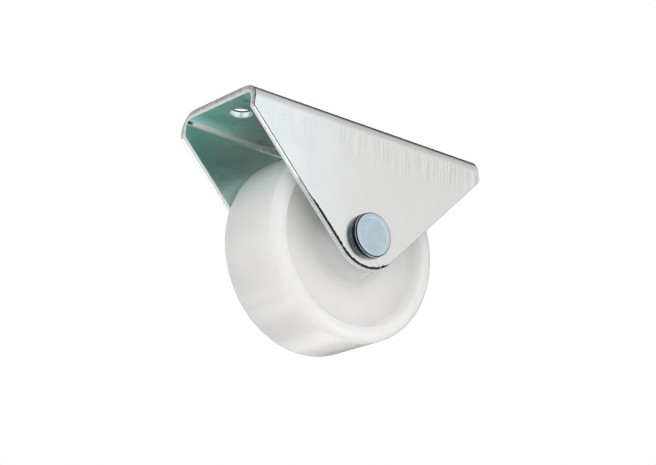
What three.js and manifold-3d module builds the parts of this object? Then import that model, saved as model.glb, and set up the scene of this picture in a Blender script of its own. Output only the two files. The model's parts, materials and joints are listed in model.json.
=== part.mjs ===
// Sliding door roller: a plain nylon wheel on a riveted axle between the two pointed ears of a folded,
// zinc-plated steel bracket. The bracket's flat back is screwed to the edge of a door or drawer.
//
// Frame, in millimetres: the origin is the centre of the bracket's flat mounting face, +Z points out of that
// face towards the door, +X runs along the bracket and is the rolling direction, and the axle lies along Y.

import * as THREE from "three";
import { mergeVertices } from "three/addons/utils/BufferGeometryUtils.js";
import Module from "manifold-3d";

// Driving dimensions.
const WHEEL_RADIUS = 25;
const TREAD_WIDTH = 21.4;
const PLATE_LENGTH = 72;
const BRACKET_WIDTH = 30;
const SHEET = 1.8; // thickness of the steel sheet
const AXLE_DROP = 29.6; // mounting face to axle
const END_HEIGHT = 6; // square end of each ear, before its edge slopes to the nose
const END_ROUND = 1; // rounded corner between the square end and the slope
const NOSE_RADIUS = 10.5; // rounded point of each ear
const SCREW_SPACING = 58;
const SCREW_HOLE_RADIUS = 2.75;
const SHANK_RADIUS = 3;
const HEAD_RADIUS = 5.6;

// Clearances.
const FIT = 0.08; // radial play of the rivet in its holes, and of the wheel on the sleeve
const SEAT = 0.05; // gap between two faces that bear on each other
const SIDE_PLAY = 0.35; // play between each end of the hub and its ear

// Bracket.
const BEND_INNER = 2;
const BEND_OUTER = BEND_INNER + SHEET;
const HALF_LENGTH = PLATE_LENGTH / 2;
const HALF_WIDTH = BRACKET_WIDTH / 2;
const HALF_GAP = HALF_WIDTH - SHEET; // centre to the inner face of an ear
const EAR_POINT = END_HEIGHT + HALF_LENGTH; // depth where the two 45 degree edges would cross
const NOSE_DROP = EAR_POINT - NOSE_RADIUS * Math.SQRT2; // depth of the nose's centre

// Axle sleeve, clamped between the ears.
const SLEEVE_RADIUS = 4;

// Wheel.
const RIM_HALF = TREAD_WIDTH / 2;
const HUB_HALF = HALF_GAP - SIDE_PLAY;
const HUB_RADIUS = 8;
const HUB_DRAFT = 1.6; // how far the hub flares towards the web
const HUB_FILLET = 2.2;
const HUB_EDGE = 0.7;
const BORE_CHAMFER = 0.4;
const DISH_RADIUS = 21.3; // where each side face starts to sink
const DISH_DRAFT = 1.2;
const DISH_DEPTH = 3.8;
const DISH_FILLET = 2.4;
const RIM_EDGE = 0.9; // rounding where the rim turns into the dish
const TREAD_EDGE = 2.4; // rounding between the tread and the rim

// Rivet.
const HEAD_THICKNESS = 1.95;
const HEAD_TAPER = 0.2; // how much smaller the head is at its face
const HEAD_EDGE = 0.45;
const TAIL_RADIUS = 4.8;
const TAIL_HEIGHT = 1.7;
const TAIL_RIM = 0.6; // straight edge of the closed tail, below its dome
const TAIL_EDGE = 0.4;
const TAIL_TOP = 3; // flat top of the closed tail

// Facets.
const WHEEL_SEGMENTS = 64;
const PIN_SEGMENTS = 40;
const FILLET_STEPS = 3;
const BEND_STEPS = 8;
const NOSE_STEPS = 20;

const wasm = await Module();
wasm.setup();

// A closed geometry as a solid for cutting.
function solidOf(geometry) {
  const bare = geometry.index ? geometry.toNonIndexed() : geometry.clone();
  bare.deleteAttribute("normal");
  bare.deleteAttribute("uv");
  const merged = mergeVertices(bare, 1e-4);
  return new wasm.Manifold(
    new wasm.Mesh({
      numProp: 3,
      vertProperties: merged.attributes.position.array,
      triVerts: new Uint32Array(merged.index.array),
    }),
  );
}

function geometryOf(solid) {
  const mesh = solid.getMesh();
  const geometry = new THREE.BufferGeometry();
  geometry.setAttribute("position", new THREE.BufferAttribute(mesh.vertProperties, 3));
  geometry.setIndex(new THREE.BufferAttribute(mesh.triVerts, 1));
  const flat = geometry.toNonIndexed();
  flat.computeVertexNormals();
  return flat;
}

// The points of an outline whose corners are [x, y, rounding]. A corner with no rounding stays sharp.
function rounded(corners, closed, steps = FILLET_STEPS) {
  const points = [];
  corners.forEach(([x, y, radius = 0], i) => {
    const corner = new THREE.Vector2(x, y);
    const isEnd = !closed && (i === 0 || i === corners.length - 1);
    if (!radius || isEnd) {
      points.push(corner);
      return;
    }
    const count = corners.length;
    const before = new THREE.Vector2(...corners[(i + count - 1) % count].slice(0, 2)).sub(corner).normalize();
    const after = new THREE.Vector2(...corners[(i + 1) % count].slice(0, 2)).sub(corner).normalize();
    const halfAngle = Math.acos(THREE.MathUtils.clamp(before.dot(after), -1, 1)) / 2;
    const middle = before.clone().add(after).normalize();
    const centre = corner.clone().addScaledVector(middle, radius / Math.sin(halfAngle));
    const start = corner.clone().addScaledVector(before, radius / Math.tan(halfAngle)).sub(centre);
    const turn = (Math.PI - 2 * halfAngle) * Math.sign(start.cross(corner.clone().sub(centre)));
    for (let k = 0; k <= steps; k++) {
      points.push(start.clone().rotateAround(new THREE.Vector2(), (turn * k) / steps).add(centre));
    }
  });
  return points;
}

// A solid of revolution about Y, from corners [radius, y, rounding].
function turned(corners, { ring = false, segments = PIN_SEGMENTS } = {}) {
  const points = rounded(corners, ring);
  if (ring) points.push(points[0].clone());
  return new THREE.LatheGeometry(points, segments);
}

function pin(radius, length) {
  return new THREE.CylinderGeometry(radius, radius, length, PIN_SEGMENTS);
}

function extruded(outline, depth) {
  return new THREE.ExtrudeGeometry(new THREE.Shape(outline), { depth, bevelEnabled: false, steps: 1 });
}

// The sheet folded to a U, a little longer than the bracket: its section is drawn in Y and Z.
function foldedChannel() {
  const over = 1;
  const depth = EAR_POINT;
  const section = rounded(
    [
      [-HALF_WIDTH, -depth],
      [-HALF_GAP, -depth],
      [-HALF_GAP, -SHEET, BEND_INNER],
      [HALF_GAP, -SHEET, BEND_INNER],
      [HALF_GAP, -depth],
      [HALF_WIDTH, -depth],
      [HALF_WIDTH, 0, BEND_OUTER],
      [-HALF_WIDTH, 0, BEND_OUTER],
    ],
    true,
    BEND_STEPS,
  );
  const channel = extruded(section, PLATE_LENGTH + 2 * over);
  channel.applyMatrix4(
    new THREE.Matrix4().makeBasis(
      new THREE.Vector3(0, 1, 0),
      new THREE.Vector3(0, 0, 1),
      new THREE.Vector3(1, 0, 0),
    ),
  );
  return channel.translate(-HALF_LENGTH - over, 0, 0);
}

// The bracket's side view, drawn in X and Z: a square end, a 45 degree edge and a round nose on each ear.
function earOutline() {
  const over = 1; // clears the mounting face
  const nose = [];
  for (let k = 0; k <= NOSE_STEPS; k++) {
    const angle = Math.PI * (1.25 + (0.5 * k) / NOSE_STEPS);
    nose.push([NOSE_RADIUS * Math.cos(angle), NOSE_RADIUS * Math.sin(angle) - NOSE_DROP]);
  }
  return rounded(
    [
      [-HALF_LENGTH, over],
      [-HALF_LENGTH, -END_HEIGHT, END_ROUND],
      ...nose,
      [HALF_LENGTH, -END_HEIGHT, END_ROUND],
      [HALF_LENGTH, over],
    ],
    true,
  );
}

function bracketGeometry() {
  const sideView = extruded(earOutline(), BRACKET_WIDTH + 2)
    .rotateX(Math.PI / 2)
    .translate(0, HALF_WIDTH + 1, 0);
  let bracket = solidOf(foldedChannel()).intersect(solidOf(sideView));
  const axleHoles = pin(SHANK_RADIUS + FIT, BRACKET_WIDTH + 2).translate(0, 0, -AXLE_DROP);
  bracket = bracket.subtract(solidOf(axleHoles));
  for (const side of [-1, 1]) {
    const screwHole = pin(SCREW_HOLE_RADIUS, 4 * SHEET)
      .rotateX(Math.PI / 2)
      .translate((side * SCREW_SPACING) / 2, 0, 0);
    bracket = bracket.subtract(solidOf(screwHole));
  }
  return geometryOf(bracket);
}

// One side of the wheel, from the bore out to the tread, as corners [radius, y, rounding].
function wheelSide() {
  const bore = SLEEVE_RADIUS + FIT;
  const web = RIM_HALF - DISH_DEPTH;
  return [
    [bore, HUB_HALF - BORE_CHAMFER],
    [bore + BORE_CHAMFER, HUB_HALF],
    [HUB_RADIUS, HUB_HALF, HUB_EDGE],
    [HUB_RADIUS + HUB_DRAFT, web, HUB_FILLET],
    [DISH_RADIUS - DISH_DRAFT, web, DISH_FILLET],
    [DISH_RADIUS, RIM_HALF, RIM_EDGE],
    [WHEEL_RADIUS, RIM_HALF, TREAD_EDGE],
  ];
}

function wheelGeometry() {
  const outward = wheelSide();
  const lower = outward.map(([radius, y, rounding]) => [radius, -y, rounding]);
  return turned([...lower, ...outward.reverse()], { ring: true, segments: WHEEL_SEGMENTS });
}

function sleeveGeometry() {
  const inner = SHANK_RADIUS + FIT;
  const half = HALF_GAP - SEAT;
  return turned(
    [
      [inner, -half],
      [SLEEVE_RADIUS, -half],
      [SLEEVE_RADIUS, half],
      [inner, half],
    ],
    { ring: true },
  );
}

// The rivet: a flat factory head on the -Y ear, and a domed head closed over the +Y ear.
function rivetGeometry() {
  const seat = HALF_WIDTH + SEAT;
  const face = seat + HEAD_THICKNESS;
  const dome = seat + TAIL_HEIGHT;
  return turned([
    [0, -face],
    [HEAD_RADIUS - HEAD_TAPER, -face, HEAD_EDGE],
    [HEAD_RADIUS, -seat],
    [SHANK_RADIUS, -seat],
    [SHANK_RADIUS, seat],
    [TAIL_RADIUS, seat],
    [TAIL_RADIUS, seat + TAIL_RIM, TAIL_EDGE],
    [TAIL_TOP, dome, TAIL_HEIGHT],
    [0, dome],
  ]);
}

function steel(name, colour, roughness) {
  return new THREE.MeshStandardMaterial({ name, color: colour, metalness: 1, roughness });
}

const zincPlate = steel("zinc_plate", 0xd3d9d8, 0.32);
const zincRivet = steel("zinc_rivet", 0xb4c6d0, 0.28);
const plainSteel = steel("bright_steel", 0xb9bcbe, 0.3);
const nylon = new THREE.MeshStandardMaterial({
  name: "natural_nylon",
  color: 0xe9e8e4,
  metalness: 0,
  roughness: 0.38,
});

function part(name, geometry, material) {
  const mesh = new THREE.Mesh(geometry, material);
  mesh.name = name;
  return mesh;
}

const roller = new THREE.Group();
roller.add(part("bracket", bracketGeometry(), zincPlate));

// Everything on the axle line shares one group at the axle's height.
const axleLine = new THREE.Group();
axleLine.position.z = -AXLE_DROP;
axleLine.add(part("wheel", wheelGeometry(), nylon));
axleLine.add(part("axle_rivet", rivetGeometry(), zincRivet));
axleLine.add(part("axle_sleeve", sleeveGeometry(), plainSteel));
roller.add(axleLine);

export default roller;
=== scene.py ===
"""A fixed sliding door roller: a plain nylon wheel on a riveted axle between the two pointed ears of a
folded, zinc-plated steel bracket. Each operator makes one finished piece, in metres, in place of one node
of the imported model.

The origin is the centre of the bracket's flat mounting face, +Z points out of that face, +X runs along the
bracket and the axle lies along Y."""

import json
import math

import bpy
from bpy.props import FloatProperty, FloatVectorProperty, IntProperty, PointerProperty
from mathutils import Matrix, Vector
from mathutils.geometry import tessellate_polygon


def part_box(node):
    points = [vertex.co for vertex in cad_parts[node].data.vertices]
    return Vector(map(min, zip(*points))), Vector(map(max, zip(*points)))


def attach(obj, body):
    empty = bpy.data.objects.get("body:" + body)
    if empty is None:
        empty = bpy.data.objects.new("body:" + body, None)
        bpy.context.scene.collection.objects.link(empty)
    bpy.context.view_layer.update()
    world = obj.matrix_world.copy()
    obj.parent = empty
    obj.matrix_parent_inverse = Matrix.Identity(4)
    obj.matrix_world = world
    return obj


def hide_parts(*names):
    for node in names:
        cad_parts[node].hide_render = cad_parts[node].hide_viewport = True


bl_info = {
    "name": "Sliding Door Roller",
    "version": (1, 0, 0),
    "blender": (4, 5, 0),
    "location": "View3D > Sidebar > Door Roller",
    "description": "Builds a nylon roller in a folded and plated steel bracket",
    "category": "Add Mesh",
}

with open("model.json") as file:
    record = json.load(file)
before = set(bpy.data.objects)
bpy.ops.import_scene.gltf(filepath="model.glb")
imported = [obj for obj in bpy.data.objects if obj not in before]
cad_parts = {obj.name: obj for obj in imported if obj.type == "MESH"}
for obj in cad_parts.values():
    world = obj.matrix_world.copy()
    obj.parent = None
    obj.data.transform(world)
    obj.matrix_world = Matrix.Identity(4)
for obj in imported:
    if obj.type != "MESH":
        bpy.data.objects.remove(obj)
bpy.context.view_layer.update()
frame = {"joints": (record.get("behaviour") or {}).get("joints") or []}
BRACKET_LOW, BRACKET_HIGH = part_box("bracket")
WHEEL_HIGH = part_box("wheel")[1]
RIVET_LOW, RIVET_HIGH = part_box("axle_rivet")
SLEEVE_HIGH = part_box("axle_sleeve")[1]
AXLE_HEIGHT = frame["joints"][0]["pos_m"][2]
AXLE = Vector((0, 1, 0))

MM = 0.001
SEAT_GAP = 0.05 * MM  # between an ear and the rivet's head or tail
BLANK_MAP = "blank"  # the bracket's UV map: metres along and across the flat blank
QUARTER = math.pi / 2


# ---------------------------------------------------------------- sizes and colours


def length(name, description, default):
    return FloatProperty(
        name=name,
        description=description,
        default=default,
        unit="LENGTH",
        subtype="DISTANCE",
        precision=5,
        min=0.0,
    )


def angle(name, description, degrees):
    return FloatProperty(
        name=name,
        description=description,
        default=math.radians(degrees),
        unit="ROTATION",
        subtype="ANGLE",
    )


def colour(name, description, default):
    return FloatVectorProperty(
        name=name, description=description, default=default, size=3, subtype="COLOR", min=0.0, max=1.0
    )


def factor(name, description, default, high=1.0):
    return FloatProperty(name=name, description=description, default=default, min=0.0, max=high)


class RollerBracketSettings(bpy.types.PropertyGroup):
    """Sizes and finish of the folded bracket"""

    sheet: length("Sheet", "Thickness of the steel sheet", 1.8 * MM)
    bend: length("Bend radius", "Outside radius of the two bends", 3.8 * MM)
    end_height: length("End height", "Height of each ear's square end", 6 * MM)
    end_round: length("End rounding", "Rounding of the corner below the square end", 1 * MM)
    nose_radius: length("Nose radius", "Radius of each ear's rounded point", 10.5 * MM)
    axle_hole: length("Axle hole radius", "Radius of the hole for the rivet in each ear", 3.08 * MM)
    screw_hole: length("Screw hole radius", "Radius of the two holes in the back", 2.75 * MM)
    screw_spacing: length("Screw spacing", "Distance between the two screw holes", 58 * MM)
    roll_depth: length("Roll depth", "Depth of the shoulder where the punch drew the sheet in", 0.2 * MM)
    roll_width: length("Roll width", "Width of that shoulder", 0.13 * MM)
    nose_roll: length("Nose roll", "Its width down one slope of each ear and around the point", 0.78 * MM)
    roll_start: length("Roll start", "Depth on an ear at which the rolled edge starts to widen", 23.5 * MM)
    burr_round: length("Back edge", "Smaller rounding on the side that the punch left last", 0.16 * MM)
    hole_shoulder: length("Hole shoulder", "Depth of the shoulder around the holes", 0.42 * MM)
    hole_burr: length("Hole edge", "Rounding of the holes on the inside of the bracket", 0.06 * MM)
    breakout: length("Breakout", "How far the torn half of a cut edge falls back", 0.09 * MM)
    bend_pull: length("Bend pull", "How far the outside of each bend draws in at its ends", 0.5 * MM)
    outer_zinc: colour("Outer zinc", "Bright zinc on the outside of the bracket", (0.87, 0.895, 0.895))
    inner_zinc: colour("Inner zinc", "Blue-green zinc inside the bracket", (0.565, 0.94, 0.885))
    edge_zinc: colour("Cut edge", "Zinc on the sheared edges", (0.90, 0.90, 0.92))
    # The rolled edges' near-black colour is a painted dark reflection.
    roll_dark_reflection: colour("Rolled edge painted reflection", "Painted dark reflection on the rolled shoulders", (0.025, 0.026, 0.028))


class RollerWheelSettings(bpy.types.PropertyGroup):
    """Sizes and finish of the nylon wheel"""

    tread_width: length("Tread width", "Width of the wheel across its rim", 21.4 * MM)
    bore: length("Bore radius", "Radius of the hole that turns on the sleeve", 4.08 * MM)
    hub_radius: length("Hub radius", "Outer radius of the hub at its end", 8 * MM)
    hub_draft: length("Hub draft", "How far the hub widens towards the web", 1.6 * MM)
    dish_radius: length("Dish radius", "Radius at which each side starts to sink", 21.3 * MM)
    dish_draft: length("Dish draft", "How far the rim's inner wall leans", 1.2 * MM)
    dish_depth: length("Dish depth", "Depth of each dished side", 3.8 * MM)
    tread_round: length("Tread rounding", "Rounding between the tread and the rim", 2.4 * MM)
    segments: IntProperty(name="Segments", description="Faces around the wheel", default=192, min=24)
    nylon: colour("Nylon", "Milky white of the undyed nylon", (0.745, 0.736, 0.724))


class RollerRivetSettings(bpy.types.PropertyGroup):
    """Sizes and finish of the axle rivet"""

    shank: length("Shank radius", "Radius of the rivet between its heads", 3 * MM)
    head_taper: length("Head taper", "How much smaller the flat head is at its face", 0.1 * MM)
    head_round: length("Head rounding", "Rounding around the flat head's face", 0.28 * MM)
    foot_ring: length("Foot ring", "Height of the wider ring at the foot of the flat head", 0.6 * MM)
    ring_step: length("Ring step", "How far that ring stands out", 0.12 * MM)
    dish_radius: length("Dimple radius", "Radius of the shallow recess in the flat head", 4.1 * MM)
    dish_depth: length("Dimple depth", "Depth of the shallow recess in the flat head", 0.06 * MM)
    tail_radius: length("Tail radius", "Radius of the closed tail", 4.8 * MM)
    tail_rim: length("Tail rim", "Straight height of the closed tail, below its dome", 0.6 * MM)
    segments: IntProperty(name="Segments", description="Faces around the rivet", default=96, min=16)
    zinc: colour("Rivet zinc", "Blue-bright zinc on the rivet", (0.52, 0.65, 0.72))


class RollerSleeveSettings(bpy.types.PropertyGroup):
    """Sizes and finish of the axle sleeve"""

    bore: length("Bore radius", "Inner radius of the sleeve", 3.08 * MM)
    break_edge: length("Broken edge", "Rounding at the sleeve's ends", 0.15 * MM)
    segments: IntProperty(name="Segments", description="Faces around the sleeve", default=72, min=16)
    steel: colour("Steel", "Drawn steel of the sleeve", (0.56, 0.565, 0.57))


class RollerStageSettings(bpy.types.PropertyGroup):
    """The camera, the light tent and the floor"""

    azimuth: angle("Azimuth", "Camera direction around the roller", -38.34)
    elevation: angle("Elevation", "Camera height angle, which looks up from below", -18.95)
    roll: angle("Roll", "Tilt of the camera about its own line of sight", 2.57)
    distance: length("Distance", "Camera to the point it looks at", 482.5 * MM)
    lens: FloatProperty(name="Lens", description="Focal length in millimetres", default=107.8, min=1.0)
    aim: FloatVectorProperty(
        name="Aim",
        description="The point that the camera looks at",
        default=(-1.2 * MM, -0.8 * MM, -25.5 * MM),
        size=3,
        unit="LENGTH",
        subtype="XYZ",
    )
    floor_depth: length("Floor depth", "How far the floor lies below the mounting face", 0.5)
    tent: factor("Tent", "Brightness of the white tent around the roller", 1.0, 10.0)


# ---------------------------------------------------------------- mesh making


def make_piece(name, points, normals, faces, materials, body, node, uvs=None):
    """A mesh object with exact normals, riding on its body in place of its CAD node. A face is
    (corners, material index, corner UVs or None)."""
    mesh = bpy.data.meshes.new(name)
    ordered = []
    for corners, kind, places in faces:
        a, b, c = (points[corners[k]] for k in (0, 1, 2))
        facing = (b - a).cross(c - b).dot(sum((normals[k] for k in corners), Vector()))
        if facing < 0:
            corners = corners[::-1]
            places = places and places[::-1]
        ordered.append((corners, kind, places))
    mesh.from_pydata([tuple(p) for p in points], [], [corners for corners, _, _ in ordered])
    for material in materials:
        mesh.materials.append(material)
    for polygon, (_, kind, _) in zip(mesh.polygons, ordered):
        polygon.material_index = kind
        polygon.use_smooth = True
    if uvs:
        layer = mesh.uv_layers.new(name=uvs)
        places = [place for _, _, corner_places in ordered for place in corner_places]
        for loop, place in zip(layer.data, places):
            loop.uv = place
    mesh.update()
    mesh.normals_split_custom_set_from_vertices([tuple(n.normalized()) for n in normals])
    if mesh.validate(clean_customdata=False):
        raise RuntimeError(f"{name} came out with faulty faces")
    piece = bpy.data.objects.new(name, mesh)
    bpy.context.scene.collection.objects.link(piece)
    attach(piece, body)
    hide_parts(node)
    return piece


def arc_steps(turn):
    """How many steps an arc of this angle takes."""
    return max(2, math.ceil(abs(turn) / math.radians(12)))


def rounded_profile(corners, closed):
    """Points and travel directions along an outline whose corners are (radius, y, rounding)."""
    flat = [Vector(corner[:2]) for corner in corners]
    count = len(corners)
    path = []
    for i, corner in enumerate(flat):
        before = corner - flat[i - 1]
        after = flat[(i + 1) % count] - corner
        if not closed and i in (0, count - 1):
            path.append((corner, (after if i == 0 else before).normalized()))
            continue
        before.normalize()
        after.normalize()
        turn = math.atan2(before.cross(after), before.dot(after))
        radius = corners[i][2]
        reach = radius * math.tan(abs(turn) / 2)
        side = Vector((-before.y, before.x)) * math.copysign(radius, turn)
        centre = corner - before * reach + side
        steps = arc_steps(turn)
        for k in range(steps + 1):
            spin = Matrix.Rotation(turn * k / steps, 2)
            path.append((centre - spin @ side, spin @ before))
    return path


def turned_piece(name, corners, closed, segments, material, body, node):
    """A solid of revolution about the axle. Its corners run so that the material lies on their left."""
    path = rounded_profile(corners, closed)
    points, normals, rings = [], [], []
    for place, travel in path:
        outward = (travel.y, -travel.x)
        on_axis = place.x < 1e-9
        ring = []
        for k in range(1 if on_axis else segments):
            turn = 2 * math.pi * k / segments
            across = Vector((math.cos(turn), 0, math.sin(turn)))
            ring.append(len(points))
            points.append(across * place.x + AXLE * place.y + Vector((0, 0, AXLE_HEIGHT)))
            if on_axis:
                normals.append(AXLE * math.copysign(1, outward[1]))
            else:
                normals.append(across * outward[0] + AXLE * outward[1])
        rings.append(ring)
    faces = []
    pairs = list(zip(rings, rings[1:]))
    if closed:
        pairs.append((rings[-1], rings[0]))
    for lower, upper in pairs:
        for k in range(segments):
            a, b = lower[k % len(lower)], lower[(k + 1) % len(lower)]
            c, d = upper[(k + 1) % len(upper)], upper[k % len(upper)]
            corners_here = list(dict.fromkeys((a, b, c, d)))
            faces.append((corners_here, 0, None))
    return make_piece(name, points, normals, faces, [material], body, node)


# ---------------------------------------------------------------- the bracket


BEND_STEPS = 14
BEND_REACH = 0.4  # how far a bend's drawn-in ends reach past it, as a share of its width
EASE_STEPS = 4  # rows on each side of a bend, where that pull fades out
HOLE_STEPS = 56
SLOPE_STEPS = 16
ROLL_STEPS = 4  # strips of a cut wall that belong to its rolled shoulder
BACK_STEPS = 4  # strips around its back edge
ROLL_EASE = 3 * MM  # the stretch over which the rolled edge widens
OUTER, INNER, EDGE, ROLL = range(4)  # the bracket's materials


class Blank:
    """The bracket's flat blank and how it folds. A place on it is (u along, v across, w into the sheet)."""

    def __init__(self, settings):
        self.settings = settings
        self.half_length = BRACKET_HIGH.x
        self.half_width = BRACKET_HIGH.y
        self.flat_half = self.half_width - settings.bend
        self.bend_width = settings.bend * QUARTER
        drawn = self.bend_width * BEND_REACH
        approach = [self.flat_half - drawn * (1 - k / EASE_STEPS) for k in range(EASE_STEPS)]
        bend = [self.flat_half + self.bend_width * k / BEND_STEPS for k in range(BEND_STEPS + 1)]
        corner = self.across(settings.end_height) - settings.end_round * math.tan(math.pi / 8)
        leaving = [bend[-1] + (corner - bend[-1]) * k / EASE_STEPS for k in range(1, EASE_STEPS)]
        self.rows = [0.0, *approach, *bend, *leaving]
        self.first_bend = 1 + EASE_STEPS
        self.corner = corner

    def across(self, depth):
        """The distance across the blank of a place this far below the mounting face, on an ear."""
        return self.flat_half + self.bend_width + depth - self.settings.bend

    def turn(self, v):
        """How far the sheet has turned at v, from 0 on the back to a quarter turn on an ear."""
        return min(max((abs(v) - self.flat_half) / self.settings.bend, 0.0), QUARTER)

    def place(self, u, v, w):
        """Where a place on the blank lies when folded. The outside of a bend draws in at its ends."""
        side = math.copysign(1, v)
        turn = self.turn(v)
        reach = self.settings.bend - w
        beyond = max(abs(v) - self.flat_half - self.bend_width, 0.0)
        if abs(u) > self.half_length - self.settings.sheet:
            off_middle = abs(abs(v) - self.flat_half - self.bend_width / 2)
            ease = min(off_middle / (self.bend_width * (0.5 + BEND_REACH)), 1.0)
            pulled = self.settings.bend_pull * math.cos(QUARTER * ease) ** 2
            u -= math.copysign(pulled * (1 - w / self.settings.sheet), u)
        inner = min(abs(v), self.flat_half)
        y = side * (inner + reach * math.sin(turn))
        z = -self.settings.bend + reach * math.cos(turn) - beyond
        return Vector((u, y, z))

    def direction(self, v, along, sideways, outward):
        """A direction given on the blank, as it points on the folded bracket."""
        side = math.copysign(1, v)
        turn = self.turn(v)
        widthwise = Vector((0, math.cos(turn), -side * math.sin(turn)))
        out = Vector((0, side * math.sin(turn), math.cos(turn)))
        return Vector((along, 0, 0)) + widthwise * sideways + out * outward

    def roll(self, u, v):
        """The rolled edge's width. The punch draws the sheet in most around one side of an ear's point."""
        s = self.settings
        down = (abs(v) - self.across(s.roll_start)) / ROLL_EASE
        along = (s.nose_radius * math.sqrt(0.5) + u) / ROLL_EASE
        share = max(min(down, along, 1.0), 0.0)
        return s.roll_width + (s.nose_roll - s.roll_width) * share * share * (3 - 2 * share)

    def outline(self):
        """Half of the blank's edge, as (u, v, outward u, outward v, roll). The rest is its half turn."""
        s = self.settings
        right = [(self.half_length, v, 1, 0) for v in self.rows]
        left = [(-self.half_length, v, -1, 0) for v in reversed(self.rows[1:])]
        eighth = math.pi / 4
        corner_u = self.half_length - s.end_round
        nose_v = self.across(-BRACKET_LOW.z) - s.nose_radius
        first = arc_points(corner_u, self.corner, s.end_round, 0, eighth)
        nose = arc_points(0, nose_v, s.nose_radius, eighth, 3 * eighth)
        last = arc_points(-corner_u, self.corner, s.end_round, 3 * eighth, math.pi)
        down = slope_points(first[-1], nose[0])
        up = slope_points(nose[-1], last[0])
        edge = [*right, *first, *down, *nose, *up, *last, *left]
        return [(u, v, nu, nv, self.roll(u, v)) for u, v, nu, nv in edge]

    def hole(self, u, v, radius):
        """A round hole's edge, run the other way so that its outward side is its middle."""
        turns = [-2 * math.pi * k / HOLE_STEPS for k in range(HOLE_STEPS)]
        rim = [(math.cos(turn), math.sin(turn)) for turn in turns]
        return [(u + radius * x, v + radius * y, -x, -y, self.settings.roll_width) for x, y in rim]

    def cut_profile(self, roll, depth, breakout, burr):
        """Down a sheared edge from the outer face to the inner one, as (inset, w, sideways, outward)."""
        s = self.settings
        slant = math.atan2(depth, roll)
        rolled = [
            (roll, 0, 0, 1),
            (roll * 0.88, depth * 0.06, math.sin(slant * 0.7), math.cos(slant * 0.7)),
            (roll * 0.5, depth * 0.45, math.sin(slant), math.cos(slant)),
            (roll * 0.1, depth * 0.85, math.sin(slant * 1.15), math.cos(slant * 1.15)),
            (0, depth * 1.05, 1, 0),
        ]
        tear = s.sheet * 0.45
        lean = math.atan2(breakout, s.sheet - burr - tear)
        torn = [(0, tear, 1, 0), (0.01 * MM, tear + 0.05 * MM, math.cos(lean), -math.sin(lean))]
        back = []
        for k in range(BACK_STEPS + 1):
            turn = QUARTER * k / BACK_STEPS
            facing = lean + (QUARTER - lean) * k / BACK_STEPS
            inset = breakout + burr * (1 - math.cos(turn))
            w = s.sheet - burr * (1 - math.sin(turn))
            back.append((inset, w, math.cos(facing), -math.sin(facing)))
        return [*rolled, *torn, *back]


def arc_points(u, v, radius, start, end):
    """Points along an arc of the blank's edge, each as (u, v, outward u, outward v)."""
    steps = max(6, math.ceil((end - start) / math.radians(4)))
    turns = [start + (end - start) * k / steps for k in range(steps + 1)]
    return [(u + radius * math.cos(t), v + radius * math.sin(t), math.cos(t), math.sin(t)) for t in turns]


def slope_points(start, end):
    """Points between the two ends of an ear's straight slope."""
    shares = [k / SLOPE_STEPS for k in range(1, SLOPE_STEPS)]
    return [tuple(a + (b - a) * share for a, b in zip(start, end)) for share in shares]


class SheetMesh:
    """Collects the points and faces of a folded sheet from the edges of its flat blank."""

    def __init__(self, blank):
        self.blank = blank
        self.points, self.normals, self.faces = [], [], []
        self.flat_places = []  # each point's place on the blank

    def cut(self, edge, wall, shoulder, breakout, burr):
        """The cut wall along a closed edge, with a rolled shoulder this deep. Returns the point numbers on
        the outer and the inner face."""
        first = len(self.points)
        profiles = [self.blank.cut_profile(roll, shoulder, breakout, burr) for *_, roll in edge]
        depth = len(profiles[0])
        run = 0.0
        runs = []
        for i, (u, v, nu, nv, _) in enumerate(edge):
            runs.append(run)
            after = edge[(i + 1) % len(edge)]
            run += math.hypot(after[0] - u, after[1] - v)
            for inset, w, sideways, outward in profiles[i]:
                here_u, here_v = u - nu * inset, v - nv * inset
                self.points.append(self.blank.place(here_u, here_v, w))
                self.normals.append(self.blank.direction(v, nu * sideways, nv * sideways, outward))
                self.flat_places.append((here_u, here_v))
        runs.append(run)
        for i in range(len(edge)):
            here, there = first + i * depth, first + (i + 1) % len(edge) * depth
            for j in range(depth - 1):
                corners = [here + j, here + j + 1, there + j + 1, there + j]
                top, low = profiles[i][j][1], profiles[i][j + 1][1]
                places = [(runs[i], top), (runs[i], low), (runs[i + 1], low), (runs[i + 1], top)]
                self.faces.append((corners, ROLL if j < ROLL_STEPS else wall, places))
        starts = range(first, first + len(edge) * depth, depth)
        return list(starts), [k + depth - 1 for k in starts]

    def skin(self, loops, kind):
        """Flat faces inside the first loop of points and outside the others."""
        everyone = [k for loop in loops for k in loop]
        shapes = [[Vector((*self.flat_places[k], 0)) for k in loop] for loop in loops]
        for triangle in tessellate_polygon(shapes):
            self.strip([everyone[k] for k in triangle], kind)

    def strip(self, corners, kind):
        self.faces.append((corners, kind, [self.flat_places[k] for k in corners]))


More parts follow.
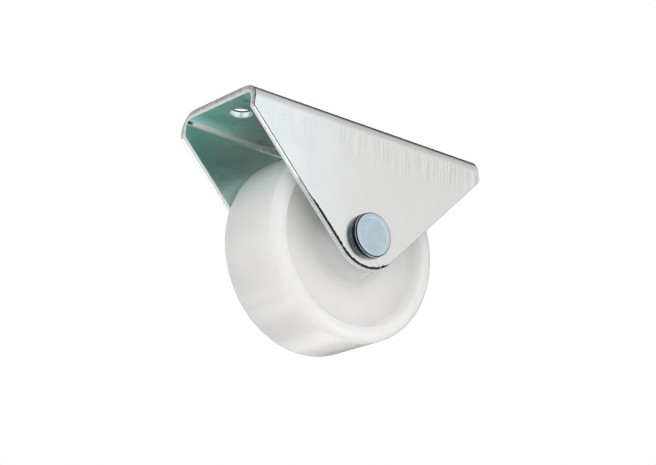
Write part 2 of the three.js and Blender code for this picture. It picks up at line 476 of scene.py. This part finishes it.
def bracket_mesh(settings):
    blank = Blank(settings)
    sheet = SheetMesh(blank)
    half = blank.outline()
    count = len(half)
    other_half = [(-u, -v, -nu, -nv, roll) for u, v, nu, nv, roll in half]
    rim = sheet.cut([*half, *other_half], EDGE, settings.roll_depth, settings.breakout, settings.burr_round)
    spacing = settings.screw_spacing / 2
    axle_v = blank.across(-AXLE_HEIGHT)
    screw_rims = [blank.hole(u, 0, settings.screw_hole) for u in (-spacing, spacing)]
    axle_rims = [blank.hole(0, v, settings.axle_hole) for v in (axle_v, -axle_v)]
    hole_wall = (INNER, settings.hole_shoulder, 0, settings.hole_burr)
    screw_holes = [sheet.cut(hole_rim, *hole_wall) for hole_rim in screw_rims]
    axle_holes = [sheet.cut(hole_rim, *hole_wall) for hole_rim in axle_rims]
    bend = blank.first_bend
    ear = bend + BEND_STEPS
    for face, kind in ((0, OUTER), (1, INNER)):
        edge = rim[face]
        ends = [*range(bend + 1), *range(count - bend, count)]
        back = [edge[start + k] for start in (0, count) for k in ends]
        sheet.skin([back, *[hole[face] for hole in screw_holes]], kind)
        for start, hole in zip((0, count), axle_holes):
            sheet.skin([edge[start + ear : start + count - ear + 1], hole[face]], kind)
            for k in range(bend, ear):
                near, far = start + k, start + count - k
                sheet.strip([edge[near], edge[near + 1], edge[far - 1], edge[far]], kind)
    return sheet


# ---------------------------------------------------------------- material making


def add_node(tree, kind, sockets=None, **choices):
    """A new node. A socket is given a plain value, or the output that it is linked from."""
    made = tree.nodes.new("ShaderNode" + kind)
    for name, value in choices.items():
        setattr(made, name, value)
    for name, value in (sockets or {}).items():
        if isinstance(value, bpy.types.NodeSocket):
            tree.links.new(value, made.inputs[name])
        else:
            made.inputs[name].default_value = value
    return made


def new_material(name, **shader_values):
    material = bpy.data.materials.new(name)
    material.use_nodes = True
    shader = material.node_tree.nodes["Principled BSDF"]
    for socket, value in shader_values.items():
        shader.inputs[socket.replace("_", " ")].default_value = value
    return material, material.node_tree, shader


def math_node(tree, operation, a, b=0.0):
    return add_node(tree, "Math", {0: a, 1: b}, operation=operation).outputs[0]


def scaled(tree, vector, sizes, place=(0.0, 0.0, 0.0)):
    """Coordinates that step by one in each of these sizes, in metres."""
    scale = tuple(1 / size for size in sizes)
    sockets = {"Vector": vector, "Scale": scale, "Location": place}
    return add_node(tree, "Mapping", sockets).outputs["Vector"]


def noise(tree, vector, detail=2.0, roughness=0.5):
    sockets = {"Vector": vector, "Scale": 1.0, "Detail": detail, "Roughness": roughness}
    return add_node(tree, "TexNoise", sockets).outputs[0]


def ranged(tree, value, low, high, to_low=0.0, to_high=1.0, smooth=False):
    """The value mapped from one range to another, and held there."""
    kind = "SMOOTHSTEP" if smooth else "LINEAR"
    sockets = {"Value": value, "From Min": low, "From Max": high, "To Min": to_low, "To Max": to_high}
    return add_node(tree, "MapRange", sockets, interpolation_type=kind).outputs["Result"]


def distance_from(tree, value, place):
    return math_node(tree, "ABSOLUTE", math_node(tree, "SUBTRACT", value, place))


def blended(tree, amount, first, second):
    """One colour turning into another."""
    mix = add_node(tree, "Mix", {"Factor": amount}, data_type="RGBA")
    for socket, value in ((mix.inputs[6], first), (mix.inputs[7], second)):
        if isinstance(value, bpy.types.NodeSocket):
            tree.links.new(value, socket)
        else:
            socket.default_value = (*value, 1.0)
    return mix.outputs[2]


def bumped(tree, height, distance, before=None):
    """A bump this deep, in metres, over an earlier one."""
    sockets = {"Height": height, "Distance": distance, "Strength": 1.0}
    if before:
        sockets["Normal"] = before
    return add_node(tree, "Bump", sockets).outputs["Normal"]


def shaded(colour_value, amount):
    """A colour made lighter or darker."""
    return tuple(min(channel * amount, 1.0) for channel in colour_value)


def outer_zinc(settings):
    """Bright zinc with fine draw marks below the bends; a painted reflection makes one end bluer and
    brighter.
    """
    material, tree, shader = new_material("bright_zinc_outside_and_painted_reflection", Metallic=1.0)
    blank = add_node(tree, "UVMap", uv_map=BLANK_MAP).outputs["UV"]
    place = add_node(tree, "SeparateXYZ", {0: blank}).outputs
    below = math_node(tree, "ABSOLUTE", place["Y"])
    start = BRACKET_HIGH.y - settings.bend + settings.bend * QUARTER
    ragged = noise(tree, scaled(tree, blank, (0.8 * MM, 20 * MM, 1)), 3.0, 0.7)
    reach = ranged(tree, ragged, 0.3, 0.7, start + 3 * MM, start + 13 * MM)
    short = math_node(tree, "SUBTRACT", reach, below)
    fading = ranged(tree, short, 0.0, 4 * MM)
    begun = ranged(tree, below, start - 1 * MM, start + 1.5 * MM)
    patches = noise(tree, scaled(tree, blank, (9 * MM, 30 * MM, 1), (0.3, 0, 0)), 2.0)
    towards_end = ranged(tree, place["X"], -16 * MM, 22 * MM, 0.25, 1.0)
    strong = math_node(tree, "MULTIPLY", fading, begun)
    for share in (ranged(tree, patches, 0.3, 0.55), towards_end):
        strong = math_node(tree, "MULTIPLY", strong, share)
    drawn = noise(tree, scaled(tree, blank, (0.42 * MM, 14 * MM, 1)), 2.0, 0.6)
    dark_marks = math_node(tree, "MULTIPLY", ranged(tree, drawn, 0.5, 0.62), strong)
    light_marks = math_node(tree, "MULTIPLY", ranged(tree, drawn, 0.46, 0.36), strong)
    clouds = noise(tree, scaled(tree, blank, (7 * MM, 10 * MM, 1)), 3.0, 0.5)
    scuffs = noise(tree, scaled(tree, blank, (2.2 * MM, 1.1 * MM, 1), (7, 3, 0)), 3.0, 0.6)
    base = tuple(settings.outer_zinc)
    # Painted reflection: bluer and brighter towards one end, greyer and darker towards the other.
    blue_reflection_end = tuple(channel * gain for channel, gain in zip(base, (1.03, 1.055, 1.07)))
    grey_reflection_end = tuple(channel * gain for channel, gain in zip(base, (0.945, 0.92, 0.895)))
    along = blended(tree, ranged(tree, place["X"], -30 * MM, 4 * MM, smooth=True), blue_reflection_end, grey_reflection_end)
    cloudy = math_node(tree, "MULTIPLY", ranged(tree, clouds, 0.35, 0.7), 0.12)
    plain = blended(tree, cloudy, along, (0.66, 0.63, 0.60))
    scuffed = math_node(tree, "MULTIPLY", ranged(tree, scuffs, 0.6, 0.75), 0.17)
    plain = blended(tree, scuffed, plain, (0.5, 0.48, 0.46))
    marked = blended(tree, math_node(tree, "MULTIPLY", dark_marks, 0.5), plain, (0.5, 0.5, 0.48))
    marked = blended(tree, math_node(tree, "MULTIPLY", light_marks, 0.7), marked, (1.0, 1.0, 1.0))
    tree.links.new(marked, shader.inputs["Base Color"])
    cloud_dull = ranged(tree, clouds, 0.3, 0.75, 0.22, 0.3)
    dull = math_node(tree, "ADD", cloud_dull, math_node(tree, "MULTIPLY", dark_marks, 0.12))
    tree.links.new(dull, shader.inputs["Roughness"])
    wavy = noise(tree, scaled(tree, blank, (16 * MM, 14 * MM, 1)), 1.0)
    relief = bumped(tree, dark_marks, 0.008 * MM, bumped(tree, wavy, 0.10 * MM))
    tree.links.new(relief, shader.inputs["Normal"])
    return material


def inner_zinc(settings):
    """The blue-green zinc inside the bracket, uneven in colour, with a painted highlight along the fold, a
    painted reflection paler towards the middle and down the ears, and painted shade on the back and at the
    fold's ends."""
    material, tree, shader = new_material("blue_green_zinc_inside_and_painted_light", Metallic=1.0)
    blank = add_node(tree, "UVMap", uv_map=BLANK_MAP).outputs["UV"]
    place = add_node(tree, "SeparateXYZ", {0: blank}).outputs
    across = math_node(tree, "ABSOLUTE", place["Y"])
    fold = BRACKET_HIGH.y - settings.bend + settings.bend * QUARTER / 2
    from_fold = distance_from(tree, across, fold)
    # Painted highlight: a pale band along the inside of the fold.
    fold_highlight = ranged(tree, from_fold, 0.4 * MM, settings.bend * QUARTER / 2, 0.85, 0.0)
    clouds = noise(tree, scaled(tree, blank, (11 * MM, 9 * MM, 1)), 2.0, 0.5)
    streaks = noise(tree, scaled(tree, blank, (1.4 * MM, 14 * MM, 1)), 2.0, 0.5)
    base = tuple(settings.inner_zinc)
    greener = (base[0] * 0.93, base[1], base[2] * 0.97)
    greyer = (base[0] * 1.07, base[1] * 0.99, base[2] * 1.02)
    tint = blended(tree, ranged(tree, clouds, 0.2, 0.8, smooth=True), greener, greyer)
    streaked = ranged(tree, streaks, 0.3, 0.9, 0.0, 0.2, smooth=True)
    tint = blended(tree, streaked, tint, (0.80, 0.92, 0.88))
    from_middle = math_node(tree, "ABSOLUTE", place["X"])
    # Painted reflection: paler towards the middle and lower down the ears.
    inwards = ranged(tree, from_middle, 30 * MM, 14 * MM, 0.0, 0.9)
    downwards = ranged(tree, across, fold + 9 * MM, fold + 24 * MM, 0.0, 0.7)
    paler = math_node(tree, "MAXIMUM", inwards, downwards)
    # Painted shade: darker on the inside of the back.
    back_edge = BRACKET_HIGH.y - settings.bend
    back_shade = ranged(tree, across, back_edge, back_edge - settings.bend, 0.0, 0.42)
    tint = blended(tree, back_shade, tint, shaded(base, 0.45))
    tint = blended(tree, paler, tint, (0.90, 1.0, 0.97))
    tint = blended(tree, fold_highlight, tint, (1.0, 1.0, 0.96))
    # Painted shadow: a dark spot at each end of the fold's inside.
    end_shadow_place = BRACKET_HIGH.x - 1.2 * MM
    at_end = ranged(tree, from_middle, end_shadow_place - 1 * MM, end_shadow_place)
    fold_end_shadow = math_node(tree, "MULTIPLY", at_end, ranged(tree, from_fold, 1.1 * MM, 0.5 * MM))
    tint = blended(tree, fold_end_shadow, tint, (0.05, 0.07, 0.07))
    tree.links.new(tint, shader.inputs["Base Color"])
    tree.links.new(ranged(tree, clouds, 0.2, 0.8, 0.25, 0.32, smooth=True), shader.inputs["Roughness"])
    wavy = noise(tree, scaled(tree, blank, (14 * MM, 12 * MM, 1)), 0.0)
    tree.links.new(bumped(tree, wavy, 0.04 * MM), shader.inputs["Normal"])
    return material


def cut_edge_zinc(settings):
    """Zinc over a shear: a smooth grey outer half and a paler torn inner half, both with fine lines."""
    material, tree, shader = new_material("zinc_on_sheared_edge", Metallic=1.0)
    edge = add_node(tree, "UVMap", uv_map=BLANK_MAP).outputs["UV"]
    down = add_node(tree, "SeparateXYZ", {0: edge}).outputs["Y"]
    ragged = noise(tree, scaled(tree, edge, (0.8 * MM, 9 * MM, 1)), 2.0)
    border = ranged(tree, ragged, 0.3, 0.7, settings.sheet * 0.5, settings.sheet * 0.66)
    torn = ranged(tree, math_node(tree, "SUBTRACT", down, border), -0.05 * MM, 0.12 * MM)
    lines = noise(tree, scaled(tree, edge, (0.3 * MM, 2.4 * MM, 1)), 3.0, 0.6)
    base = tuple(settings.edge_zinc)
    smooth_half = blended(tree, ranged(tree, lines, 0.38, 0.62), shaded(base, 0.72), base)
    torn_half = (base[0] * 0.97, base[1] * 1.06, base[2] * 1.01)
    tree.links.new(blended(tree, torn, smooth_half, torn_half), shader.inputs["Base Color"])
    lined = ranged(tree, lines, 0.3, 0.7, 0.16, 0.26)
    rough = math_node(tree, "ADD", lined, math_node(tree, "MULTIPLY", torn, 0.12))
    tree.links.new(rough, shader.inputs["Roughness"])
    tree.links.new(bumped(tree, lines, 0.008 * MM), shader.inputs["Normal"])
    return material


def rolled_edge_painted_reflection(settings):
    """The shoulders that the punch drew in: a painted dark reflection, with a ragged bright border."""
    material, tree, shader = new_material("rolled_edge_painted_dark_reflection", Metallic=1.0)
    edge = add_node(tree, "UVMap", uv_map=BLANK_MAP).outputs["UV"]
    down = add_node(tree, "SeparateXYZ", {0: edge}).outputs["Y"]
    nicks = noise(tree, scaled(tree, edge, (0.8 * MM, 0.3 * MM, 1)), 2.0, 0.6)
    ragged = noise(tree, scaled(tree, edge, (1.2 * MM, 2 * MM, 1), (4, 0, 0)), 3.0, 0.6)
    border = ranged(tree, ragged, 0.35, 0.7, 0.0, settings.roll_depth * 0.4)
    bare = ranged(tree, math_node(tree, "SUBTRACT", down, border), 0.01 * MM, -0.02 * MM)
    # Painted dark reflection: the shoulders are near black, with bright zinc nicks and a bright border.
    base = tuple(settings.roll_dark_reflection)
    tint = blended(tree, ranged(tree, nicks, 0.60, 0.72, 0.0, 0.6), base, (0.75, 0.76, 0.77))
    tint = blended(tree, bare, tint, (0.80, 0.81, 0.82))
    tree.links.new(tint, shader.inputs["Base Color"])
    tree.links.new(ranged(tree, nicks, 0.3, 0.7, 0.12, 0.25), shader.inputs["Roughness"])
    tree.links.new(bumped(tree, nicks, 0.01 * MM), shader.inputs["Normal"])
    return material


def axle_coordinates(tree):
    """The place on a turned piece, and its distance from the axle's centre line."""
    place = add_node(tree, "TexCoord").outputs["Object"]
    moved = add_node(tree, "Mapping", {"Vector": place, "Location": (0, 0, -AXLE_HEIGHT)}).outputs["Vector"]
    flat = add_node(tree, "VectorMath", {0: moved, 1: (1, 0, 1)}, operation="MULTIPLY").outputs["Vector"]
    radius = add_node(tree, "VectorMath", {0: flat}, operation="LENGTH").outputs["Value"]
    return moved, radius


def nylon(settings):
    """Undyed nylon: milky, satin, with faint flow clouds and the mould's fine turning marks."""
    material, tree, shader = new_material(
        "milky_nylon",
        Subsurface_Weight=1.0,
        Subsurface_Radius=(1.0, 0.97, 0.92),
        Subsurface_Scale=24 * MM,
        IOR=1.53,
    )
    place, radius = axle_coordinates(tree)
    clouds = noise(tree, scaled(tree, place, (9 * MM, 11 * MM, 9 * MM)), 1.0)
    base = tuple(settings.nylon)
    cloudy = ranged(tree, clouds, 0.1, 0.9, smooth=True)
    tint = blended(tree, cloudy, shaded(base, 0.97), shaded(base, 1.03))
    tree.links.new(tint, shader.inputs["Base Color"])
    tree.links.new(ranged(tree, clouds, 0.1, 0.9, 0.19, 0.27, smooth=True), shader.inputs["Roughness"])
    rings = add_node(tree, "CombineXYZ", {"X": radius}).outputs[0]
    turning = noise(tree, scaled(tree, rings, (0.35 * MM, 1, 1)), 2.0)
    wavy = noise(tree, scaled(tree, place, (6 * MM, 8 * MM, 6 * MM)), 0.0)
    relief = bumped(tree, wavy, 0.03 * MM, bumped(tree, turning, 0.002 * MM))
    tree.links.new(relief, shader.inputs["Normal"])
    return material


def rivet_zinc_and_painted_reflection(settings):
    """Blue-bright zinc, pale around the dimple. The head's side is painted near black as a painted dark
    reflection, but for one turned line left at plain zinc as a painted highlight, and its foot ring,
    painted less dark."""
    material, tree, shader = new_material("blue_bright_zinc_and_painted_reflection", Metallic=1.0)
    place, radius = axle_coordinates(tree)
    clouds = noise(tree, scaled(tree, place, (2.4 * MM, 1.2 * MM, 2.4 * MM)), 3.0, 0.5)
    along = add_node(tree, "SeparateXYZ", {0: place}).outputs["Y"]
    rings = add_node(tree, "CombineXYZ", {"X": radius, "Y": along}).outputs[0]
    turning = noise(tree, scaled(tree, rings, (0.3 * MM, 0.18 * MM, 1)), 2.0)
    base = tuple(settings.zinc)
    tint = blended(tree, ranged(tree, clouds, 0.35, 0.65), shaded(base, 0.95), shaded(base, 1.04))
    pale = math_node(tree, "MULTIPLY", ranged(tree, turning, 0.5, 0.7), 0.25)
    tint = blended(tree, pale, tint, shaded(base, 1.2))
    dimple = settings.dish_radius
    rim = ranged(tree, radius, dimple - 0.3 * MM, dimple + 0.2 * MM, 0.0, 0.5)
    tint = blended(tree, rim, tint, shaded(base, 1.14))
    # Painted dark reflection: the head's side is near black, except along one turned line and on the foot
    # ring.
    side = ranged(tree, radius, RIVET_HIGH.x - 0.45 * MM, RIVET_HIGH.x - 0.3 * MM)
    off_line = distance_from(tree, along, -BRACKET_HIGH.y - 1.62 * MM)
    side = math_node(tree, "MULTIPLY", side, ranged(tree, off_line, 0.06 * MM, 0.16 * MM))
    dark = blended(tree, ranged(tree, turning, 0.5, 0.8), (0.012, 0.016, 0.02), (0.05, 0.06, 0.07))
    off_ring = distance_from(tree, along, -BRACKET_HIGH.y - settings.foot_ring / 2)
    dark = blended(tree, ranged(tree, off_ring, 0.22 * MM, 0.14 * MM), dark, (0.20, 0.24, 0.26))
    tint = blended(tree, side, tint, dark)
    tree.links.new(tint, shader.inputs["Base Color"])
    tree.links.new(ranged(tree, clouds, 0.3, 0.7, 0.12, 0.2), shader.inputs["Roughness"])
    relief = bumped(tree, turning, 0.002 * MM, bumped(tree, clouds, 0.02 * MM))
    tree.links.new(relief, shader.inputs["Normal"])
    return material


def sleeve_steel(settings):
    """Drawn steel tube with lines along it and a thin film of grease."""
    material, tree, shader = new_material("drawn_steel", Metallic=1.0, Coat_Weight=0.3, Coat_Roughness=0.2)
    place, _ = axle_coordinates(tree)
    lines = noise(tree, scaled(tree, place, (0.2 * MM, 6 * MM, 0.2 * MM)), 2.0)
    base = tuple(settings.steel)
    tint = blended(tree, ranged(tree, lines, 0.35, 0.65), shaded(base, 0.85), shaded(base, 1.08))
    tree.links.new(tint, shader.inputs["Base Color"])
    tree.links.new(ranged(tree, lines, 0.3, 0.7, 0.25, 0.4), shader.inputs["Roughness"])
    tree.links.new(bumped(tree, lines, 0.004 * MM), shader.inputs["Normal"])
    return material


# ---------------------------------------------------------------- the stage


# Darker places in the tent. Each: direction, angle of full effect, angle where it ends, share of its light.
TENT_PATCHES = (
    ((-0.47, -0.38, -0.80), 20, 34, 0.05),  # the dark stand below the camera
    ((-0.587, -0.742, 0.325), 8, 18, 0.40),  # the dark gap above the camera
    ((0.64, 0.60, 0.48), 31, 41, 0.02),  # the unlit room behind the roller
    ((0.96, 0.10, 0.02), 16, 28, 0.15),  # the same room past the tent's right side
    ((0.35, -0.10, 0.93), 22, 52, 0.62),  # the tent's thicker roof
    ((-0.52, 0.70, 0.49), 12, 24, 0.42),  # a seam in the tent behind and to the left
    ((0.75, -0.58, 0.33), 4, 20, 0.80),  # a fold in the tent to the right
)
# Each: name, direction from the axle, distance, width, height, power, whether it shows in metal.
SOFTBOXES = (
    ("low_softbox", (0.40, -0.60, -0.69), 0.6, 0.25, 0.05, 0.15, True),
    ("right_softbox", (0.587, -0.742, -0.325), 0.7, 0.45, 0.35, 0.5, True),
    ("rear_softbox", (0.45, 0.735, -0.5), 0.6, 0.2, 0.2, 0.12, True),
    ("end_softbox", (-0.42, 0.75, -0.51), 0.6, 0.1, 0.1, 0.04, True),
    ("rear_glint", (-0.2, 0.77, -0.62), 0.6, 0.14, 0.05, 0.05, True),
    ("front_fill", (-0.44, -0.87, -0.22), 0.8, 0.4, 0.4, 1.7, False),
)
WASH_DROP = 0.15  # the axle to the lamp that shines on the floor
FLOOR_REACH = 6.0  # the middle of the floor to each of its sides


def direction_of(azimuth, elevation):
    """The unit vector that points this way from the roller. Azimuth 0 is -Y."""
    level = math.cos(elevation)
    return Vector((math.sin(azimuth) * level, -math.cos(azimuth) * level, math.sin(elevation)))


def add_camera(settings):
    back = direction_of(settings.azimuth, settings.elevation)
    right = Vector((math.cos(settings.azimuth), math.sin(settings.azimuth), 0))
    up = back.cross(right)
    turned = Matrix((right, up, back)).transposed() @ Matrix.Rotation(settings.roll, 3, "Z")
    data = bpy.data.cameras.new("stage_camera")
    data.lens = settings.lens
    data.sensor_width = 36
    data.clip_start = 0.01
    data.clip_end = 50
    camera = bpy.data.objects.new("stage_camera", data)
    place = Vector(settings.aim) + back * settings.distance
    camera.matrix_world = Matrix.Translation(place) @ turned.to_4x4()
    bpy.context.scene.collection.objects.link(camera)
    bpy.context.scene.camera = camera
    return camera


def tent_patch(tree, direction, light, towards, inner, outer, share):
    """The tent's light multiplied by this share inside a round patch, fading out between two angles."""
    sides = {0: direction, 1: Vector(towards).normalized()}
    close = add_node(tree, "VectorMath", sides, operation="DOT_PRODUCT").outputs["Value"]
    low, high = math.cos(math.radians(outer)), math.cos(math.radians(inner))
    amount = ranged(tree, close, low, high, 1.0, share, smooth=True)
    return math_node(tree, "MULTIPLY", light, amount)


def add_tent(settings):
    """A white tent with darker places that show in the metal. The camera itself sees plain white behind."""
    world = bpy.data.worlds.new("light_tent")
    bpy.context.scene.world = world
    world.use_nodes = True
    tree = world.node_tree
    tree.nodes.clear()
    direction = add_node(tree, "TexCoord").outputs["Generated"]
    light = settings.tent
    for towards, inner, outer, share in TENT_PATCHES:
        light = tent_patch(tree, direction, light, towards, inner, outer, share)
    tent = add_node(tree, "Background", {"Color": (1, 1, 1, 1), "Strength": light})
    backdrop = add_node(tree, "Background", {"Color": (1, 1, 1, 1), "Strength": 1.0})
    seen = add_node(tree, "LightPath").outputs["Is Camera Ray"]
    mixed = add_node(tree, "MixShader", {0: seen, 1: tent.outputs[0], 2: backdrop.outputs[0]})
    output = add_node(tree, "OutputWorld")
    tree.links.new(mixed.outputs[0], output.inputs["Surface"])


def add_lamp(name, place, away, width, height, power, mirrored):
    """An area lamp with its back to this direction. One that isn't mirrored lights matt surfaces only, and
    doesn't show in metal."""
    data = bpy.data.lights.new(name, "AREA")
    data.shape = "ELLIPSE"
    data.size = width
    data.size_y = height
    data.energy = power
    lamp = bpy.data.objects.new(name, data)
    lamp.matrix_world = Matrix.Translation(place) @ away.to_track_quat("Z", "Y").to_matrix().to_4x4()
    lamp.visible_glossy = mirrored
    bpy.context.scene.collection.objects.link(lamp)
    return lamp


def add_lamps():
    """The softboxes around the roller, and a wide lamp just under it that lights only the floor."""
    centre = Vector((0, 0, AXLE_HEIGHT))
    for name, towards, distance, width, height, power, mirrored in SOFTBOXES:
        away = Vector(towards).normalized()
        add_lamp(name, centre + away * distance, away, width, height, power, mirrored)
    up = Vector((0, 0, 1))
    wash = add_lamp("floor_wash", centre - up * WASH_DROP, up, 1.6, 1.6, 0.3, False)
    wash.visible_camera = False


def add_floor(settings):
    """A wide sheet of pale paper, far enough below the roller that a low camera stays above it."""
    half = FLOOR_REACH
    mesh = bpy.data.meshes.new("stage_floor")
    corners = [(-half, -half), (half, -half), (half, half), (-half, half)]
    mesh.from_pydata([(x, y, -settings.floor_depth) for x, y in corners], [], [(0, 1, 2, 3)])
    material, tree, shader = new_material("pale_paper", Roughness=0.9)
    place = add_node(tree, "TexCoord").outputs["Object"]
    fibres = noise(tree, scaled(tree, place, (0.03, 0.03, 1)), 4.0)
    tint = blended(tree, fibres, (0.86, 0.86, 0.855), (0.89, 0.89, 0.885))
    tree.links.new(tint, shader.inputs["Base Color"])
    mesh.materials.append(material)
    floor = bpy.data.objects.new("stage_floor", mesh)
    bpy.context.scene.collection.objects.link(floor)


# ---------------------------------------------------------------- operators


class ROLLER_OT_set_stage(bpy.types.Operator):
    """Sets the camera, the light tent, the lamps and the floor"""

    bl_idname = "door_roller.set_stage"
    bl_label = "Set Stage"

    def execute(self, context):
        settings = context.scene.roller_stage
        context.scene.view_settings.view_transform = "Standard"
        add_camera(settings)
        add_tent(settings)
        add_lamps()
        add_floor(settings)
        return {"FINISHED"}


class ROLLER_OT_add_bracket(bpy.types.Operator):
    """Folds the bracket from its flat blank"""

    bl_idname = "door_roller.add_bracket"
    bl_label = "Bracket"

    def execute(self, context):
        settings = context.scene.roller_bracket
        sheet = bracket_mesh(settings)
        materials = [
            outer_zinc(settings),
            inner_zinc(settings),
            cut_edge_zinc(settings),
            rolled_edge_painted_reflection(settings),
        ]
        make_piece(
            "folded_bracket",
            sheet.points,
            sheet.normals,
            sheet.faces,
            materials,
            "bracket_body",
            "bracket",
            BLANK_MAP,
        )
        return {"FINISHED"}


class ROLLER_OT_add_wheel(bpy.types.Operator):
    """Moulds the nylon wheel"""

    bl_idname = "door_roller.add_wheel"
    bl_label = "Wheel"

    def execute(self, context):
        s = context.scene.roller_wheel
        rim = s.tread_width / 2
        web = rim - s.dish_depth
        hub = WHEEL_HIGH.y
        side = [
            (s.bore, hub, 0.35 * MM),
            (s.hub_radius, hub, 0.7 * MM),
            (s.hub_radius + s.hub_draft, web, 2.2 * MM),
            (s.dish_radius - s.dish_draft, web, 2.4 * MM),
            (s.dish_radius, rim, 0.9 * MM),
            (WHEEL_HIGH.x, rim, s.tread_round),
        ]
        lower = [(radius, -y, rounding) for radius, y, rounding in side]
        turned_piece(
            "nylon_wheel",
            [*lower, *reversed(side)],
            True,
            s.segments,
            nylon(s),
            "wheel_body",
            "wheel",
        )
        return {"FINISHED"}


class ROLLER_OT_add_rivet(bpy.types.Operator):
    """Makes the axle rivet with its flat head and its closed tail"""

    bl_idname = "door_roller.add_rivet"
    bl_label = "Axle Rivet"

    def execute(self, context):
        s = context.scene.roller_rivet
        head = RIVET_HIGH.x
        face = RIVET_LOW.y
        seat = BRACKET_HIGH.y + SEAT_GAP
        dome = RIVET_HIGH.y
        corners = [
            (0, face + s.dish_depth, 0),
            (s.dish_radius, face + s.dish_depth, 0.2 * MM),
            (s.dish_radius + 0.25 * MM, face, 0.2 * MM),
            (head - s.head_taper, face, s.head_round),
            (head - s.ring_step, -seat - s.foot_ring, 0.06 * MM),
            (head, -seat - s.foot_ring + 0.06 * MM, 0.06 * MM),
            (head, -seat, 0.15 * MM),
            (s.shank, -seat, 0.1 * MM),
            (s.shank, seat, 0.1 * MM),
            (s.tail_radius, seat, 0.15 * MM),
            (s.tail_radius, seat + s.tail_rim, 0.4 * MM),
            (3 * MM, dome, 1.5 * MM),
            (0, dome, 0),
        ]
        turned_piece(
            "riveted_axle",
            corners,
            False,
            s.segments,
            rivet_zinc_and_painted_reflection(s),
            "bracket_body",
            "axle_rivet",
        )
        return {"FINISHED"}


class ROLLER_OT_add_sleeve(bpy.types.Operator):
    """Cuts the steel sleeve that the wheel turns on"""

    bl_idname = "door_roller.add_sleeve"
    bl_label = "Axle Sleeve"

    def execute(self, context):
        s = context.scene.roller_sleeve
        half = SLEEVE_HIGH.y
        outer = SLEEVE_HIGH.x
        corners = [
            (s.bore, -half, s.break_edge),
            (outer, -half, s.break_edge),
            (outer, half, s.break_edge),
            (s.bore, half, s.break_edge),
        ]
        turned_piece(
            "steel_sleeve",
            corners,
            True,
            s.segments,
            sleeve_steel(s),
            "bracket_body",
            "axle_sleeve",
        )
        return {"FINISHED"}


OPERATORS = (
    ROLLER_OT_set_stage,
    ROLLER_OT_add_bracket,
    ROLLER_OT_add_wheel,
    ROLLER_OT_add_rivet,
    ROLLER_OT_add_sleeve,
)
SETTINGS = {
    "roller_bracket": RollerBracketSettings,
    "roller_wheel": RollerWheelSettings,
    "roller_rivet": RollerRivetSettings,
    "roller_sleeve": RollerSleeveSettings,
    "roller_stage": RollerStageSettings,
}


class ROLLER_PT_pieces(bpy.types.Panel):
    """Lists the roller's pieces and their settings"""

    bl_label = "Door Roller"
    bl_idname = "ROLLER_PT_pieces"
    bl_space_type = "VIEW_3D"
    bl_region_type = "UI"
    bl_category = "Door Roller"

    def draw(self, context):
        layout = self.layout
        for operator in OPERATORS:
            layout.operator(operator.bl_idname)
        for name in SETTINGS:
            box = layout.box()
            group = getattr(context.scene, name)
            for prop in group.bl_rna.properties:
                if prop.identifier not in ("name", "rna_type"):
                    box.prop(group, prop.identifier)


def register():
    for group in SETTINGS.values():
        bpy.utils.register_class(group)
    for name, group in SETTINGS.items():
        setattr(bpy.types.Scene, name, PointerProperty(type=group))
    for operator in OPERATORS:
        bpy.utils.register_class(operator)
    bpy.utils.register_class(ROLLER_PT_pieces)


def unregister():
    bpy.utils.unregister_class(ROLLER_PT_pieces)
    for operator in reversed(OPERATORS):
        bpy.utils.unregister_class(operator)
    for name, group in SETTINGS.items():
        delattr(bpy.types.Scene, name)
        bpy.utils.unregister_class(group)


def main():
    register()
    bpy.ops.door_roller.set_stage()
    bpy.ops.door_roller.add_bracket()
    bpy.ops.door_roller.add_wheel()
    bpy.ops.door_roller.add_rivet()
    bpy.ops.door_roller.add_sleeve()


if __name__ == "__main__":
    main()
